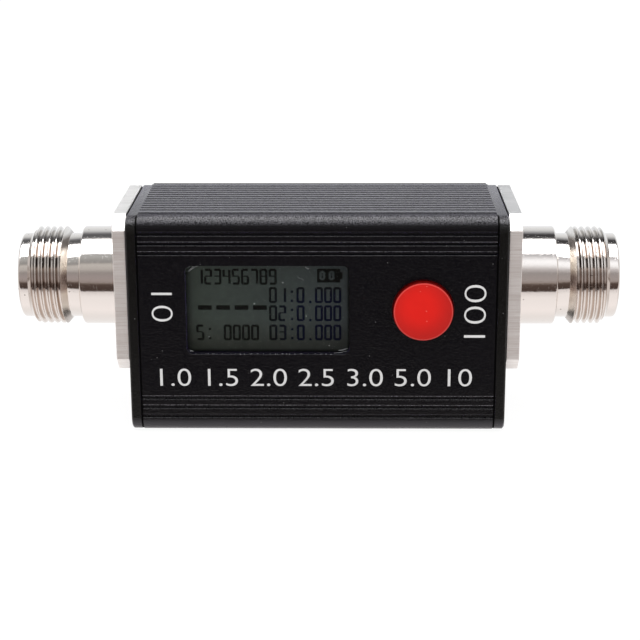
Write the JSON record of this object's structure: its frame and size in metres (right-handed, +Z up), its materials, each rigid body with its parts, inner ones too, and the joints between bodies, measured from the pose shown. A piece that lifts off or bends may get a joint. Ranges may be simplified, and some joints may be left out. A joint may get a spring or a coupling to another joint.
{
  "type": "swr meter",
  "caption": "In-line standing wave meter: grooved black case with a display window, a round push button and a threaded coaxial socket at each end.",
  "frame": {"origin": "On the plane that the meter rests on, below the middle of the case tube's length and depth", "axes": "+X along the sockets towards the right one, -Y out of the front panel with the display and the button, +Z up"},
  "size_m": [0.0964, 0.0281, 0.0355],
  "materials": {
    "black_coat": "black powder coat, fine grain",
    "socket_nickel": "bright nickel on brass",
    "contact_gold": "thin gold plate",
    "white_insulator": "waxy white",
    "screw_steel": "satin",
    "screw_black": "black oxide",
    "clear_film": "clear film, slightly wavy",
    "display_glass": "dark glass with a grey-green field",
    "display_figures": "dark dots behind the glass",
    "white_print": "printed ink",
    "red_plastic": "satin",
    "white_plastic": "matte",
    "black_plastic": "matte",
    "board_green": "solder mask",
    "bare_copper": "tinned at the ends",
    "tin_plate": "bright",
    "cell_foil": "silver foil",
    "foam_tape": "matte",
    "amber_flex": "satin",
    "red_lead": "satin",
    "black_lead": "satin"
  },
  "bodies": {
    "case": {"case_tube": "black_coat", "left_end_plate": "black_coat", "right_end_plate": "black_coat", "left_flange_screw_upper_front": "screw_steel", "left_flange_screw_upper_back": "screw_steel", "left_flange_screw_lower_front": "screw_steel", "left_flange_screw_lower_back": "screw_steel", "left_flange_nut_front": "screw_steel", "left_flange_nut_back": "screw_steel", "left_plate_screw_front": "screw_black", "left_plate_screw_back": "screw_black", "right_flange_screw_upper_front": "screw_steel", "right_flange_screw_upper_back": "screw_steel", "right_flange_screw_lower_front": "screw_steel", "right_flange_screw_lower_back": "screw_steel", "right_flange_nut_front": "screw_steel", "right_flange_nut_back": "screw_steel", "right_plate_screw_front": "screw_black", "right_plate_screw_back": "screw_black", "left_socket_body": "socket_nickel", "right_socket_body": "socket_nickel", "left_insulator": "white_insulator", "right_insulator": "white_insulator", "left_centre_contact": "contact_gold", "right_centre_contact": "contact_gold", "screen_film": "clear_film", "display_glass": "display_glass", "display_light": "white_plastic", "display_tray": "black_plastic", "display_flex": "amber_flex", "switch_cover": "screw_steel", "switch_dome": "screw_steel", "switch_body": "black_plastic", "main_board": "board_green", "processor": "black_plastic", "charger_chip": "black_plastic", "charging_shell": "screw_steel", "charging_tongue": "black_plastic", "board_header": "black_plastic", "radio_board": "board_green", "through_line": "bare_copper", "lower_sense_line": "bare_copper", "upper_sense_line": "bare_copper", "lower_detector_diode": "black_plastic", "upper_detector_diode": "black_plastic", "lower_load_resistor": "black_plastic", "upper_load_resistor": "black_plastic", "shield_can": "tin_plate", "battery_tape": "foam_tape", "battery_cell": "cell_foil", "battery_guard_board": "board_green", "battery_lead_red": "red_lead", "battery_lead_black": "black_lead", "battery_plug": "white_plastic"},
    "button": {"button_cap": "red_plastic", "switch_stem": "white_plastic"}
  },
  "joints": [
    {"name": "button_press", "type": "slide", "parent": "case", "child": "button", "axis": [0, 1, 0], "range_m": [0, 0.0004], "stiffness_N_per_m": 600, "springref_m": -0.002}
  ]
}
